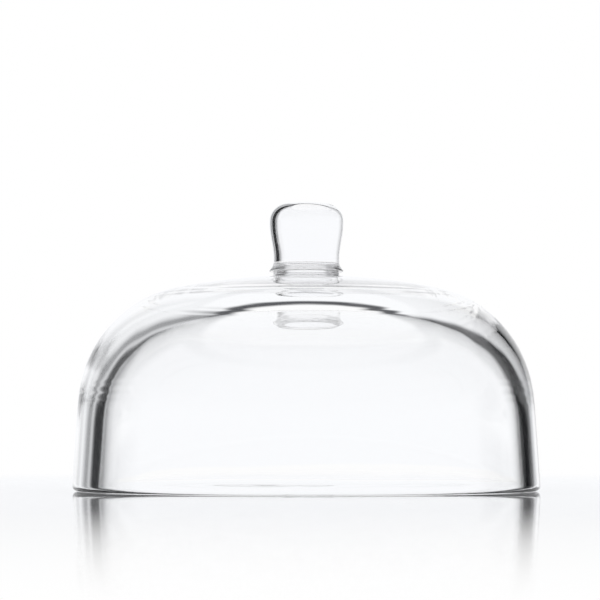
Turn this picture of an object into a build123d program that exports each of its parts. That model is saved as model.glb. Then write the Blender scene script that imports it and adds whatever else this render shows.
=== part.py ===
from build123d import *
from math import cos, radians, sin, sqrt
import os

# A thick, clear, hand-blown glass cheese dome. Millimetres, +Z up.
# The origin is the centre of the rim, on the table that the dome stands on.

# Dome, outside
RIM_DIAMETER = 230.0            # widest, at the rim
DOME_HEIGHT = 105.5             # table to the top of the crown, without the knob
SIDE_DRAFT = 3.5                # degrees that the wall leans in as it rises, both faces
CROWN_EDGE_SHARE = 0.65         # crown's diameter, as a share of the rim's
CROWN_RISE_SHARE = 0.08         # how far the crown domes up, as a share of the height
SHOULDER_SHARE = 0.58           # shoulder's radius, as a share of the height
CROWN_EDGE_BLEND = 30.0         # soft turn from the crown into the shoulder
RIM_OUTER_ROUND = 2.5           # fire-polished outer edge of the rim

# Dome, inside: the blown bubble, a little off the outside's centre
CROWN_THICKNESS = 14.5          # glass between the cavity's ceiling and the crown's top
RIM_THICKNESS = 9.4             # mean thickness of the wall at the rim
CEILING_EDGE_SHARE = 0.587      # ceiling's diameter, as a share of the cavity's foot
CEILING_RISE_SHARE = 0.045      # how far the ceiling domes up, as a share of its height
CAVITY_SHOULDER_SHARE = 0.57    # cavity shoulder's radius, as a share of the ceiling's height
CEILING_EDGE_BLEND = 30.0       # soft turn from the ceiling into the cavity's shoulder
CAVITY_DRIFT = 2.2              # shift to +X, which makes that wall the thin one
RIM_INNER_ROUND = 1.2           # fire-polished inner edge of the rim

# Seat: a button of hot glass pressed between the crown and the knob
SEAT_SHARE = 1.0                # seat's diameter, as a share of the knob's widest
SEAT_THICKNESS = 2.4            # at its middle
SEAT_EDGE_ROUND = 0.9

# Knob: a small bubble, blown and sealed
KNOB_DIAMETER = 36.8            # at its widest
KNOB_HEIGHT = 34.0              # above the seat
KNOB_WIDEST_SHARE = 0.70        # height of the widest place, as a share of the knob's height
NECK_SHARE = 0.89               # neck's diameter, as a share of the widest
NECK_HEIGHT_SHARE = 0.20        # height of the neck, as a share of the knob's height
KNOB_CORNER_SHARE = 0.88        # round of the top's edge, as a share of the height over the widest
KNOB_TOP_SWELL = 0.6            # how far the nearly flat top domes up
KNOB_WALL = 2.1                 # glass round the sealed bubble
BUBBLE_CORNER = 3.5             # round at the foot of the sealed bubble
BUBBLE_DRIFT = 0.5              # shift to +X


def flat(point):
    """A vector's two plane coordinates."""
    return (point.X, point.Y)


def dome_form(foot_radius, height, edge_radius, rise, shoulder_radius, blend):
    """Solid of a dome on a flat foot: a leaning side, a shoulder and a shallow cap."""
    lean = radians(SIDE_DRAFT)
    up_side = Vector(-sin(lean), cos(lean))
    inward = Vector(-cos(lean), -sin(lean))
    foot = Vector(foot_radius, 0)
    edge = Vector(edge_radius, height - rise)
    depth = (edge - foot).dot(inward)
    rest_of_side = sqrt(depth * (2 * shoulder_radius - depth))
    side_top = foot + up_side * ((edge - foot).dot(up_side) - rest_of_side)
    floor = Line((0, 0), flat(foot))
    side = Line(flat(foot), flat(side_top))
    shoulder = TangentArc(flat(side_top), flat(edge), tangent=flat(up_side))
    cap = TangentArc((0, height), flat(edge), tangent=(1, 0))
    axis = Line((0, 0), (0, height))
    outline = make_face([floor, side, shoulder, cap, axis])
    corner = outline.vertices().sort_by_distance(flat(edge))[0]
    outline = fillet(corner, blend)
    return revolve(Rot(X=90) * outline, Axis.Z)


def dome_outside():
    """Solid bounded by the dome's outer surface."""
    return dome_form(
        foot_radius=RIM_DIAMETER / 2,
        height=DOME_HEIGHT,
        edge_radius=CROWN_EDGE_SHARE * RIM_DIAMETER / 2,
        rise=CROWN_RISE_SHARE * DOME_HEIGHT,
        shoulder_radius=SHOULDER_SHARE * DOME_HEIGHT,
        blend=CROWN_EDGE_BLEND,
    )


def dome_cavity():
    """Solid that fills the space under the dome."""
    foot_radius = RIM_DIAMETER / 2 - RIM_THICKNESS
    height = DOME_HEIGHT - CROWN_THICKNESS
    cavity = dome_form(
        foot_radius=foot_radius,
        height=height,
        edge_radius=CEILING_EDGE_SHARE * foot_radius,
        rise=CEILING_RISE_SHARE * height,
        shoulder_radius=CAVITY_SHOULDER_SHARE * height,
        blend=CEILING_EDGE_BLEND,
    )
    return Pos(X=CAVITY_DRIFT) * cavity


def make_dome_shell():
    """The dome: one thick blown wall, open below, its rim polished round."""
    shell = dome_outside() - dome_cavity()
    rim = shell.faces().sort_by(Axis.Z)[0]
    shell = fillet(rim.edges().sort_by(SortBy.RADIUS)[-1], RIM_OUTER_ROUND)
    rim = shell.faces().sort_by(Axis.Z)[0]
    return fillet(rim.edges().sort_by(SortBy.RADIUS)[0], RIM_INNER_ROUND)


def make_knob_seat():
    """Round button of glass that lies on the crown and carries the knob."""
    button = extrude(Circle(SEAT_SHARE * KNOB_DIAMETER / 2), DOME_HEIGHT + SEAT_THICKNESS)
    seat = button - dome_outside()
    rim = seat.edges().filter_by(GeomType.CIRCLE).sort_by(Axis.Z)[-1]
    return fillet(rim, SEAT_EDGE_ROUND)


def knob_form(radius, neck_radius, foot_radius, height, neck_height, widest_height):
    """Solid of a knob that stands on z = 0: flared foot, neck, round head, nearly flat top."""
    foot = (foot_radius, 0)
    neck = (neck_radius, neck_height)
    widest = (radius, widest_height)
    corner = (radius, height - KNOB_TOP_SWELL)
    outline = make_face([
        Line((0, 0), foot),
        TangentArc(neck, foot, tangent=(0, -1)),
        Spline(neck, widest, tangents=[(0, 1), (0, 1)]),
        Line(widest, corner),
        TangentArc((0, height), corner, tangent=(1, 0)),
        Line((0, 0), (0, height)),
    ])
    corner_round = KNOB_CORNER_SHARE * (corner[1] - widest_height)
    outline = fillet(outline.vertices().sort_by_distance(corner)[0], corner_round)
    return revolve(Rot(X=90) * outline, Axis.Z)


def make_knob():
    """Blown knob with a sealed bubble inside."""
    radius = KNOB_DIAMETER / 2
    neck_radius = NECK_SHARE * radius
    foot_radius = SEAT_SHARE * KNOB_DIAMETER / 2 - SEAT_EDGE_ROUND
    neck_height = NECK_HEIGHT_SHARE * KNOB_HEIGHT
    widest_height = KNOB_WIDEST_SHARE * KNOB_HEIGHT
    body = knob_form(radius, neck_radius, foot_radius, KNOB_HEIGHT, neck_height, widest_height)
    bubble = knob_form(
        radius - KNOB_WALL,
        neck_radius - KNOB_WALL,
        foot_radius - KNOB_WALL,
        KNOB_HEIGHT - 2 * KNOB_WALL,
        neck_height - KNOB_WALL,
        widest_height - KNOB_WALL,
    )
    bubble = fillet(bubble.edges().sort_by(Axis.Z)[0], BUBBLE_CORNER)
    knob = body - Pos(X=BUBBLE_DRIFT, Z=KNOB_WALL) * bubble
    return Pos(Z=DOME_HEIGHT + SEAT_THICKNESS) * knob


os.makedirs("parts", exist_ok=True)
export_step(make_dome_shell(), "parts/dome_shell.step")
export_step(make_knob_seat(), "parts/knob_seat.step")
export_step(make_knob(), "parts/knob.step")
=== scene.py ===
import math

import bpy
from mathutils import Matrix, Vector, noise


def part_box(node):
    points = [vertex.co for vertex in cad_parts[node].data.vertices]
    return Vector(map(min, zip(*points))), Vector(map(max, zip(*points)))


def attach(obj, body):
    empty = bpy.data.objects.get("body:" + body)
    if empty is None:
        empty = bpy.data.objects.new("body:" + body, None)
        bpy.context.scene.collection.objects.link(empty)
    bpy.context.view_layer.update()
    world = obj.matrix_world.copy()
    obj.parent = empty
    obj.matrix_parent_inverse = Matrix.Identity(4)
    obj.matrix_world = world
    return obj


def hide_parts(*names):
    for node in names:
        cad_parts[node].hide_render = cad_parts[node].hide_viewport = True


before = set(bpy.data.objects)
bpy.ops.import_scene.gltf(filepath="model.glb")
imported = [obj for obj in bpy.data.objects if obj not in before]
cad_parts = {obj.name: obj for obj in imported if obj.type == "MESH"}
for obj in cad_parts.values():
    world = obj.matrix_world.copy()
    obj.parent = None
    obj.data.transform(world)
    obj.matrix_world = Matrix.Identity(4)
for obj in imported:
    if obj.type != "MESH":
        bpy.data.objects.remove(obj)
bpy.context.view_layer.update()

# A hand-blown glass cheese dome on a glossy white table, in front of a lit backdrop.
# Outlines are in millimetres, as in the part; MM turns them into metres.
MM = 0.001
DEG = math.pi / 180

# ---------------------------------------------------------------- sizes
shell_low, shell_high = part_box("dome_shell")
seat_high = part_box("knob_seat")[1]
knob_low, knob_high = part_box("knob")
CROWN_Z = shell_high[2] / MM
SEAT_Z = seat_high[2] / MM
KNOB_R = (knob_high[0] - knob_low[0]) / 2 / MM
KNOB_Z = knob_high[2] / MM

# Dome, outside
BOX_PLAY = 0.14                 # the rim's round takes this off the foot's radius
RIM_R = (shell_high[0] - shell_low[0]) / 2 / MM + BOX_PLAY
SIDE_DRAFT = 3.5                # degrees
CROWN_EDGE_R = 0.65 * RIM_R
CROWN_RISE = 0.08 * CROWN_Z
SHOULDER_R = 0.58 * CROWN_Z
SOFTNESS = 10.0                 # length over which crown, shoulder and side run into each other
RIM_ROUND = 2.5

# Cavity
CEILING_Z = CROWN_Z - 14.5
CAVITY_R = RIM_R - 10.1
CEILING_EDGE_R = 0.587 * CAVITY_R
CEILING_RISE = 0.045 * CEILING_Z
CAVITY_SHOULDER_R = 0.57 * CEILING_Z
CAVITY_DRIFT = 1.65
LIP_ROUND = 1.2

# Seat and knob
SEAT_R = 0.89 * KNOB_R
SEAT_ROUND = 0.6
NECK_R = 0.89 * KNOB_R
NECK_Z = SEAT_Z + 0.2 * (KNOB_Z - SEAT_Z)
WIDEST_Z = SEAT_Z + 0.7 * (KNOB_Z - SEAT_Z)
KNOB_CORNER = 8.4
KNOB_SWELL = 0.6
FOOT_ROUND = 0.5
WALL = 2.0
BUBBLE_DRIFT = (1.15, 1.15)
BUBBLE_CORNER = 1.0
LAP = 0.05                      # glass that touches glass overlaps by this, so no film of air shows

# Hand-blown unevenness: the surfaces are pulled in by broad waves and fine cords
OUTSIDE_WAVE = 0.16             # about the most that the outside is pulled in
CAVITY_WAVE = 0.10
WAVE_BUILD = 20                 # the unevenness grows over this radius
WAVE_REST = 12                  # and over this height above the rim
BROAD = (2.2, 85, 0.40)         # waves round the dome, length up it, and share
CORDS = (9, 160, 0.16)
DOME_SEGMENTS = 320
KNOB_SEGMENTS = 192


# ---------------------------------------------------------------- outlines, in the (r, z) plane
def arc(centre, radius, start, end, steps):
    """Points on an arc, angles in degrees from the +r axis."""
    turns = [start + (end - start) * i / steps for i in range(steps + 1)]
    return [(centre[0] + radius * math.cos(t * DEG), centre[1] + radius * math.sin(t * DEG)) for t in turns]


def line(start, end, steps):
    """Points on a line, without its start."""
    return [tuple(Vector(start).lerp(Vector(end), i / steps)) for i in range(1, steps + 1)]


def bezier(a, b, c, d, steps):
    """Points on a cubic curve, without its start."""
    points = []
    for i in range(1, steps + 1):
        t = i / steps
        s = 1 - t
        weights = (s ** 3, 3 * t * s * s, 3 * t * t * s, t ** 3)
        points.append(tuple(sum(w * p[k] for w, p in zip(weights, (a, b, c, d))) for k in (0, 1)))
    return points


def soften(points, length):
    """Each point becomes the mean of the points within a given length along the line."""
    along = [0.0]
    for a, b in zip(points, points[1:]):
        along.append(along[-1] + math.dist(a, b))
    soft = []
    for here in along:
        reach = min(length, here, along[-1] - here)
        near = [p for p, s in zip(points, along) if abs(s - here) <= reach + 1e-9]
        soft.append((sum(p[0] for p in near) / len(near), sum(p[1] for p in near) / len(near)))
    return soft


def cap_depth(edge_radius, rise, r):
    """Drop below the top of a shallow cap, at radius r."""
    ball = (edge_radius ** 2 + rise ** 2) / (2 * rise)
    return ball - math.sqrt(ball ** 2 - r ** 2)


def dome_outline(foot_radius, height, edge_radius, rise, shoulder_radius, foot_gap):
    """Cap, shoulder and leaning side, from the top of the axis to a gap above the foot."""
    up = Vector((-math.sin(SIDE_DRAFT * DEG), math.cos(SIDE_DRAFT * DEG)))
    inward = Vector((-up[1], up[0]))
    foot = Vector((foot_radius, 0.0))
    edge = Vector((edge_radius, height - rise))
    depth = (edge - foot).dot(inward)
    side_top = foot + up * ((edge - foot).dot(up) - math.sqrt(depth * (2 * shoulder_radius - depth)))
    centre = side_top + inward * shoulder_radius
    start = math.atan2(edge[1] - centre[1], edge[0] - centre[0]) / DEG
    radii = [edge_radius * i / 48 for i in range(49)]
    cap = [(r, height - cap_depth(edge_radius, rise, r)) for r in radii]
    shoulder = arc(centre, shoulder_radius, start, SIDE_DRAFT, 60)[1:]
    side_foot = foot + up * foot_gap
    side = line(shoulder[-1], side_foot, 24)
    return soften(cap + shoulder + side, SOFTNESS), side_foot, inward


def outside_outline():
    """The dome's outside, with the round outer edge of the rim."""
    gap = RIM_ROUND * math.tan((90 + SIDE_DRAFT) / 2 * DEG)
    points, side_foot, inward = dome_outline(RIM_R, CROWN_Z, CROWN_EDGE_R, CROWN_RISE, SHOULDER_R, gap)
    return points + arc(side_foot + inward * RIM_ROUND, RIM_ROUND, SIDE_DRAFT, -90, 12)[1:]


def cavity_outline():
    """The cavity, with the round inner edge of the rim."""
    gap = LIP_ROUND * math.tan((90 - SIDE_DRAFT) / 2 * DEG)
    points, side_foot, inward = dome_outline(
        CAVITY_R, CEILING_Z, CEILING_EDGE_R, CEILING_RISE, CAVITY_SHOULDER_R, gap)
    return points + arc(side_foot - inward * LIP_ROUND, LIP_ROUND, 180 + SIDE_DRAFT, 270, 8)[1:]


def knob_outline(shrink, foot_radius, foot_z):
    """The knob's outside (shrink 0) or its bubble, from the top of the axis to the foot."""
    radius = KNOB_R - shrink
    neck = NECK_R - shrink
    corner = KNOB_CORNER - shrink
    top = KNOB_Z - shrink
    flat = radius - corner
    edge_z = top - cap_depth(radius, KNOB_SWELL, flat)
    points = [(flat * i / 20, top - cap_depth(radius, KNOB_SWELL, flat * i / 20)) for i in range(20)]
    points += arc((flat, edge_z - corner), corner, 90, 0, 24)
    points += line(points[-1], (radius, WIDEST_Z), 3)
    third = (WIDEST_Z - NECK_Z) / 3
    points += bezier(points[-1], (radius, WIDEST_Z - third), (neck, NECK_Z + third), (neck, NECK_Z), 26)
    drop = NECK_Z - foot_z
    return points + bezier(points[-1], (neck, NECK_Z - 0.45 * drop), (neck, foot_z + 0.4 * drop),
                           (foot_radius, foot_z), 14)


# ---------------------------------------------------------------- surfaces
def pull(wave, hold, seed, ring, r, z):
    """How far unevenness pulls a point in towards the axis; nothing within radius hold."""
    if not wave or r <= hold:
        return 0.0
    fade = min((r - hold) / WAVE_BUILD, 1) * min(max(z, 0) / WAVE_REST + 0.25, 1)
    broad = Vector((ring[0] * BROAD[0], ring[1] * BROAD[0], z / BROAD[1] + seed))
    cords = Vector((ring[0] * CORDS[0], ring[1] * CORDS[0], z / CORDS[1] - seed))
    return wave * fade * (0.5 + BROAD[2] * noise.noise(broad) + CORDS[2] * noise.noise(cords))


def turned(outline, segments, centre=(0, 0), wave=0.0, hold=0.0, seed=0.0):
    """Surface of an outline turned about Z: its points, its faces and its rings."""
    verts = []
    loops = []
    for r, z in outline:
        count = 1 if r < 1e-6 else segments
        loops.append(range(len(verts), len(verts) + count))
        for k in range(count):
            turn = 2 * math.pi * k / segments
            ring = Vector((math.cos(turn), math.sin(turn), 0))
            reach = r - pull(wave, hold, seed, ring, r, z)
            verts.append(Vector((centre[0], centre[1], z)) + ring * reach)
    faces = []
    for upper, lower in zip(loops, loops[1:]):
        for k in range(segments):
            n = (k + 1) % segments
            if len(upper) == 1:
                faces.append((upper[0], lower[k], lower[n]))
            elif len(lower) == 1:
                faces.append((upper[k], lower[0], upper[n]))
            else:
                faces.append((upper[k], lower[k], lower[n], upper[n]))
    return verts, faces, loops


def joined(first, second):
    """Two turned surfaces as one, with a flat ring between them where both are open."""
    shift = len(first[0])
    verts = first[0] + second[0]
    faces = first[1] + [tuple(i + shift for i in f) for f in second[1]]
    upper = first[2][-1]
    lower = [i + shift for i in second[2][0]]
    count = len(upper)
    if len(upper) == len(lower) and count > 1:
        faces += [(upper[k], lower[k], lower[(k + 1) % count], upper[(k + 1) % count]) for k in range(count)]
    return verts, faces


def make_piece(name, node, surface, material):
    """Object of one glass piece, riding on the body and standing for its node."""
    mesh = bpy.data.meshes.new(name)
    mesh.from_pydata([v * MM for v in surface[0]], [], surface[1])
    mesh.polygons.foreach_set("use_smooth", [True] * len(mesh.polygons))
    mesh.materials.append(material)
    mesh.update()
    piece = bpy.data.objects.new(name, mesh)
    bpy.context.scene.collection.objects.link(piece)
    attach(piece, "root")
    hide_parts(node)
    return piece


def glass(name, tint, ripple):
    """Clear glass with a faint tint and the soft striations that blowing leaves."""
    material = bpy.data.materials.new(name)
    material.use_nodes = True
    nodes = material.node_tree.nodes
    links = material.node_tree.links
    shader = nodes["Principled BSDF"]
    shader.inputs["Base Color"].default_value = (*tint, 1)
    shader.inputs["Transmission Weight"].default_value = 1.0
    shader.inputs["Roughness"].default_value = 0.0
    shader.inputs["IOR"].default_value = 1.5
    shader.inputs["Specular Tint"].default_value = (0.3, 0.3, 0.3, 1)
    coords = nodes.new("ShaderNodeTexCoord")
    stretch = nodes.new("ShaderNodeMapping")
    stretch.inputs["Scale"].default_value = (1.0, 1.0, 0.25)
    streaks = nodes.new("ShaderNodeTexNoise")
    streaks.inputs["Scale"].default_value = 55
    streaks.inputs["Detail"].default_value = 1.0
    bump = nodes.new("ShaderNodeBump")
    bump.inputs["Strength"].default_value = ripple
    bump.inputs["Distance"].default_value = 0.0006
    links.new(coords.outputs["Object"], stretch.inputs["Vector"])
    links.new(stretch.outputs["Vector"], streaks.inputs["Vector"])
    links.new(streaks.outputs["Fac"], bump.inputs["Height"])
    links.new(bump.outputs["Normal"], shader.inputs["Normal"])
    return material


# ---------------------------------------------------------------- dome shell
outside = turned(outside_outline(), DOME_SEGMENTS, wave=OUTSIDE_WAVE, hold=45)
cavity = turned(cavity_outline()[::-1], DOME_SEGMENTS, (CAVITY_DRIFT, 0), CAVITY_WAVE, hold=25, seed=7.3)
dome_glass = glass("dome_glass_look", (0.995, 0.996, 0.997), 0.05)
make_piece("dome_shell_glass", "dome_shell", joined(outside, cavity), dome_glass)


# ---------------------------------------------------------------- seat
def crown_z(r):
    return CROWN_Z - cap_depth(CROWN_EDGE_R, CROWN_RISE, r)


def seat_outline():
    """Button between crown and knob: flat top, round edge, underside that follows the crown."""
    flat = SEAT_R - SEAT_ROUND
    points = [(flat * i / 8, SEAT_Z + LAP) for i in range(8)]
    points += arc((flat, SEAT_Z + LAP - SEAT_ROUND), SEAT_ROUND, 90, 0, 6)
    return points + [(SEAT_R * i / 8, crown_z(SEAT_R * i / 8) - LAP) for i in range(8, -1, -1)]


seat_glass = glass("seat_glass_look", (0.985, 0.985, 0.99), 0.02)
make_piece("knob_seat_glass", "knob_seat", turned(seat_outline(), KNOB_SEGMENTS), seat_glass)

# ---------------------------------------------------------------- knob
foot_flat = KNOB_R - FOOT_ROUND
body = knob_outline(0.0, KNOB_R, SEAT_Z + FOOT_ROUND)
body += arc((foot_flat, SEAT_Z + FOOT_ROUND), FOOT_ROUND, 0, -90, 6)[1:]
body += line(body[-1], (0, SEAT_Z), 8)
bubble = knob_outline(WALL, NECK_R - WALL, SEAT_Z + WALL + BUBBLE_CORNER)
bubble += arc((bubble[-1][0] - BUBBLE_CORNER, bubble[-1][1]), BUBBLE_CORNER, 0, -90, 12)[1:]
bubble += line(bubble[-1], (0, SEAT_Z + WALL), 8)
bubble_surface = turned(bubble[::-1], KNOB_SEGMENTS, BUBBLE_DRIFT)
knob_surface = joined(turned(body, KNOB_SEGMENTS), bubble_surface)
knob_glass = glass("knob_glass_look", (0.992, 0.992, 0.995), 0.03)
make_piece("knob_glass", "knob", knob_surface, knob_glass)


# ---------------------------------------------------------------- nodes for table and backdrop
def math_node(tree, operation, *values):
    node = tree.nodes.new("ShaderNodeMath")
    node.operation = operation
    for socket, value in zip(node.inputs, values):
        if isinstance(value, (int, float)):
            socket.default_value = value
        else:
            tree.links.new(value, socket)
    return node.outputs[0]


def soft_step(tree, value, start, end):
    node = tree.nodes.new("ShaderNodeMapRange")
    node.interpolation_type = "SMOOTHSTEP"
    tree.links.new(value, node.inputs["Value"])
    node.inputs["From Min"].default_value = start
    node.inputs["From Max"].default_value = end
    return node.outputs["Result"]


# ---------------------------------------------------------------- table
TABLE_RADIUS = 1.5
TABLE_Z = -0.0002
FADE = (0.26, 0.80)             # metres from the dome's axis, over which the table turns white


def make_table():
    """Round glossy table top that turns plain white away from the dome."""
    corners = [2 * math.pi * k / 96 for k in range(96)]
    mesh = bpy.data.meshes.new("table")
    mesh.from_pydata([(TABLE_RADIUS * math.cos(t), TABLE_RADIUS * math.sin(t), TABLE_Z) for t in corners],
                     [], [tuple(range(96))])
    table = bpy.data.objects.new("table", mesh)
    bpy.context.scene.collection.objects.link(table)
    material = bpy.data.materials.new("table_top")
    material.use_nodes = True
    tree = material.node_tree
    gloss = tree.nodes["Principled BSDF"]
    gloss.inputs["Base Color"].default_value = (0.66, 0.66, 0.67, 1)
    gloss.inputs["Roughness"].default_value = 0.03
    gloss.inputs["IOR"].default_value = 1.7
    white = tree.nodes.new("ShaderNodeEmission")
    coords = tree.nodes.new("ShaderNodeTexCoord")
    distance = tree.nodes.new("ShaderNodeVectorMath")
    distance.operation = "LENGTH"
    mix = tree.nodes.new("ShaderNodeMixShader")
    tree.links.new(coords.outputs["Object"], distance.inputs[0])
    tree.links.new(soft_step(tree, distance.outputs["Value"], *FADE), mix.inputs[0])
    tree.links.new(gloss.outputs[0], mix.inputs[1])
    tree.links.new(white.outputs[0], mix.inputs[2])
    tree.links.new(mix.outputs[0], tree.nodes["Material Output"].inputs["Surface"])
    mesh.materials.append(material)


make_table()

# ---------------------------------------------------------------- backdrop
# Seen through or in the glass: a lit studio with a dark strip on either side of the panel behind.
# Each stop is an azimuth from straight behind, in degrees, and a display brightness out of 255.
PANEL = [(-68, 252), (-60, 18), (-43, 18), (-40.5, 30), (-38.5, 115), (-36.5, 200), (-34.5, 205),
         (-32.5, 150), (-29, 145), (-26, 215), (-22, 252), (22, 252), (24.5, 232), (26, 180), (28, 85),
         (30, 40), (33, 18), (50, 18), (58, 252)]
RING = (0.05, 0.052, 0.06)      # the dark ring between the panel and the ceiling
SPREAD = 360                    # degrees that the colour ramp covers
PANEL_TOP = (47, 51)            # degrees of elevation over which the panel ends
CEILING_LIGHT = (53, 57)        # and over which the lit ceiling begins


def linear(display):
    """Scene value of a display brightness out of 255."""
    return ((display / 255 + 0.055) / 1.055) ** 2.4


def make_world():
    world = bpy.data.worlds.new("studio")
    bpy.context.scene.world = world
    world.use_nodes = True
    tree = world.node_tree
    background = tree.nodes["Background"]
    coords = tree.nodes.new("ShaderNodeTexCoord")
    split = tree.nodes.new("ShaderNodeSeparateXYZ")
    tree.links.new(coords.outputs["Generated"], split.inputs[0])
    azimuth = math_node(tree, "ARCTAN2", split.outputs["X"], split.outputs["Y"])
    elevation = math_node(tree, "ARCSINE", split.outputs["Z"])
    place = math_node(tree, "MULTIPLY_ADD", azimuth, 1 / (SPREAD * DEG), 0.5)
    panel = tree.nodes.new("ShaderNodeValToRGB")
    stops = panel.color_ramp.elements
    stops.remove(stops[1])
    for degrees, display in PANEL:
        stop = stops.new(degrees / SPREAD + 0.5)
        stop.color = (linear(display), linear(display + 1), linear(display + 3), 1)
    stops[0].color = stops[1].color
    tree.links.new(place, panel.inputs[0])
    above = soft_step(tree, elevation, CEILING_LIGHT[0] * DEG, CEILING_LIGHT[1] * DEG)
    ended = soft_step(tree, elevation, PANEL_TOP[0] * DEG, PANEL_TOP[1] * DEG)
    rays = tree.nodes.new("ShaderNodeLightPath")
    plain = math_node(tree, "MAXIMUM", rays.outputs["Is Camera Ray"], rays.outputs["Is Diffuse Ray"])
    plain = math_node(tree, "MAXIMUM", plain, above)
    mix = tree.nodes.new("ShaderNodeMix")
    mix.data_type = "RGBA"
    tree.links.new(plain, mix.inputs["Factor"])
    lit = tree.nodes.new("ShaderNodeMix")
    lit.data_type = "RGBA"
    tree.links.new(ended, lit.inputs["Factor"])
    tree.links.new(panel.outputs["Color"], lit.inputs[6])
    lit.inputs[7].default_value = (*RING, 1)
    tree.links.new(lit.outputs[2], mix.inputs[6])
    mix.inputs[7].default_value = (1, 1, 1, 1)
    tree.links.new(mix.outputs[2], background.inputs["Color"])


make_world()

# ---------------------------------------------------------------- camera
CAMERA_DISTANCE = 1.085
CAMERA_HEIGHT = 0.0221
AIM_HEIGHT = 0.0940
ASIDE = -0.0031
FIELD = 0.2974                  # width of the view at the dome's axis


def make_camera():
    data = bpy.data.cameras.new("camera")
    camera = bpy.data.objects.new("camera", data)
    bpy.context.scene.collection.objects.link(camera)
    bpy.context.scene.camera = camera
    camera.location = (ASIDE, -CAMERA_DISTANCE, CAMERA_HEIGHT)
    reach = Vector((ASIDE, 0, AIM_HEIGHT)) - camera.location
    camera.rotation_euler = reach.to_track_quat("-Z", "Y").to_euler()
    data.sensor_width = 36
    data.lens = 36 * reach.length / FIELD
    data.clip_start = 0.01


make_camera()

# ---------------------------------------------------------------- render settings
scene = bpy.context.scene
scene.view_settings.view_transform = "Standard"
scene.cycles.max_bounces = 32
scene.cycles.transmission_bounces = 32
scene.cycles.glossy_bounces = 16
